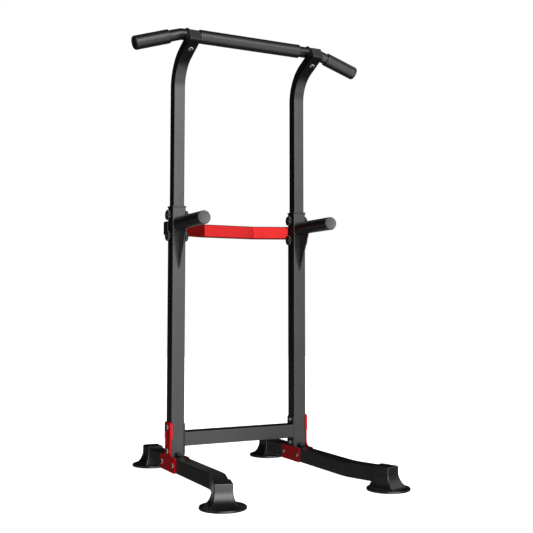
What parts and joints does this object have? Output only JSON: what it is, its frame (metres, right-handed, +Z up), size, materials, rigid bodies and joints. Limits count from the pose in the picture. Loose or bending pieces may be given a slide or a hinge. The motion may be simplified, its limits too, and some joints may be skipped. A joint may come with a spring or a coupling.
{
  "type": "power tower",
  "caption": "Free-standing power tower: a foam-wrapped pull-up bar on height-adjustable bent uprights, dip handles, a back bar and splayed floor rails on rubber feet.",
  "frame": {"origin": "centre of the bounding box, on the floor", "axes": "+Z up; -Y is the open front where the dip handles and curved uprights point; +X is to the right seen from the front; the two uprights stand in the plane Y = 0.1735"},
  "size_m": [1.0926, 1.116, 1.9204],
  "materials": {
    "black_coat": "satin black powder coat",
    "red_coat": "gloss red powder coat",
    "foam": "matt closed-cell foam",
    "foot_rubber": "satin moulded rubber",
    "black_plastic": "satin moulded plastic",
    "grey_plastic": "matt moulded plastic",
    "zinc": "zinc plated"
  },
  "bodies": {
    "base_frame": {"back_bar": "red_coat", "front_left_foot": "foot_rubber", "front_right_foot": "foot_rubber", "left_back_bar_bolt": "zinc", "left_back_bar_cap": "black_plastic", "left_base_rail": "black_coat", "left_dip_arm": "black_coat", "left_dip_cap": "grey_plastic", "left_dip_foam": "foam", "left_foot_bolt": "zinc", "left_guide_bushing": "black_plastic", "left_inner_plate": "red_coat", "left_lower_lock_nut": "black_plastic", "left_lower_upright": "black_coat", "left_outer_bracket": "red_coat", "left_rail_bolt_front": "zinc", "left_rail_bolt_rear": "zinc", "left_upper_lock_nut": "black_plastic", "left_upright_bolt_lower": "zinc", "left_upright_bolt_upper": "zinc", "lower_crossbar": "black_coat", "rear_left_foot": "foot_rubber", "rear_right_foot": "foot_rubber", "right_back_bar_bolt": "zinc", "right_back_bar_cap": "black_plastic", "right_base_rail": "black_coat", "right_dip_arm": "black_coat", "right_dip_cap": "grey_plastic", "right_dip_foam": "foam", "right_foot_bolt": "zinc", "right_guide_bushing": "black_plastic", "right_inner_plate": "red_coat", "right_lower_lock_nut": "black_plastic", "right_lower_upright": "black_coat", "right_outer_bracket": "red_coat", "right_rail_bolt_front": "zinc", "right_rail_bolt_rear": "zinc", "right_upper_lock_nut": "black_plastic", "right_upright_bolt_lower": "zinc", "right_upright_bolt_upper": "zinc"},
    "upper_frame": {"centre_bar_foam": "foam", "left_bar_bolt": "zinc", "left_grip_cap": "black_plastic", "left_grip_foam": "foam", "left_lower_glide": "black_plastic", "left_tip_cap": "grey_plastic", "left_upper_upright": "black_coat", "pull_up_bar": "black_coat", "right_bar_bolt": "zinc", "right_grip_cap": "black_plastic", "right_grip_foam": "foam", "right_lower_glide": "black_plastic", "right_tip_cap": "grey_plastic", "right_upper_upright": "black_coat"},
    "left_upper_knob_turn": {"left_upper_knob": "black_plastic"},
    "left_lower_knob_turn": {"left_lower_knob": "black_plastic"},
    "right_upper_knob_turn": {"right_upper_knob": "black_plastic"},
    "right_lower_knob_turn": {"right_lower_knob": "black_plastic"}
  },
  "joints": [
    {"name": "height_slide", "type": "slide", "parent": "base_frame", "child": "upper_frame", "axis": [0, 0, 1], "range_m": [0, 0.27]},
    {"name": "left_upper_knob_hinge", "type": "hinge", "parent": "base_frame", "child": "left_upper_knob_turn", "pos_m": [-0.326, 0.1735, 1.118], "axis": [-1, 0, 0], "range_deg": [0, 720]},
    {"name": "left_lower_knob_hinge", "type": "hinge", "parent": "base_frame", "child": "left_lower_knob_turn", "pos_m": [-0.326, 0.1735, 1.028], "axis": [-1, 0, 0], "range_deg": [0, 720]},
    {"name": "right_upper_knob_hinge", "type": "hinge", "parent": "base_frame", "child": "right_upper_knob_turn", "pos_m": [0.326, 0.1735, 1.118], "axis": [1, 0, 0], "range_deg": [0, 720]},
    {"name": "right_lower_knob_hinge", "type": "hinge", "parent": "base_frame", "child": "right_lower_knob_turn", "pos_m": [0.326, 0.1735, 1.028], "axis": [1, 0, 0], "range_deg": [0, 720]}
  ]
}
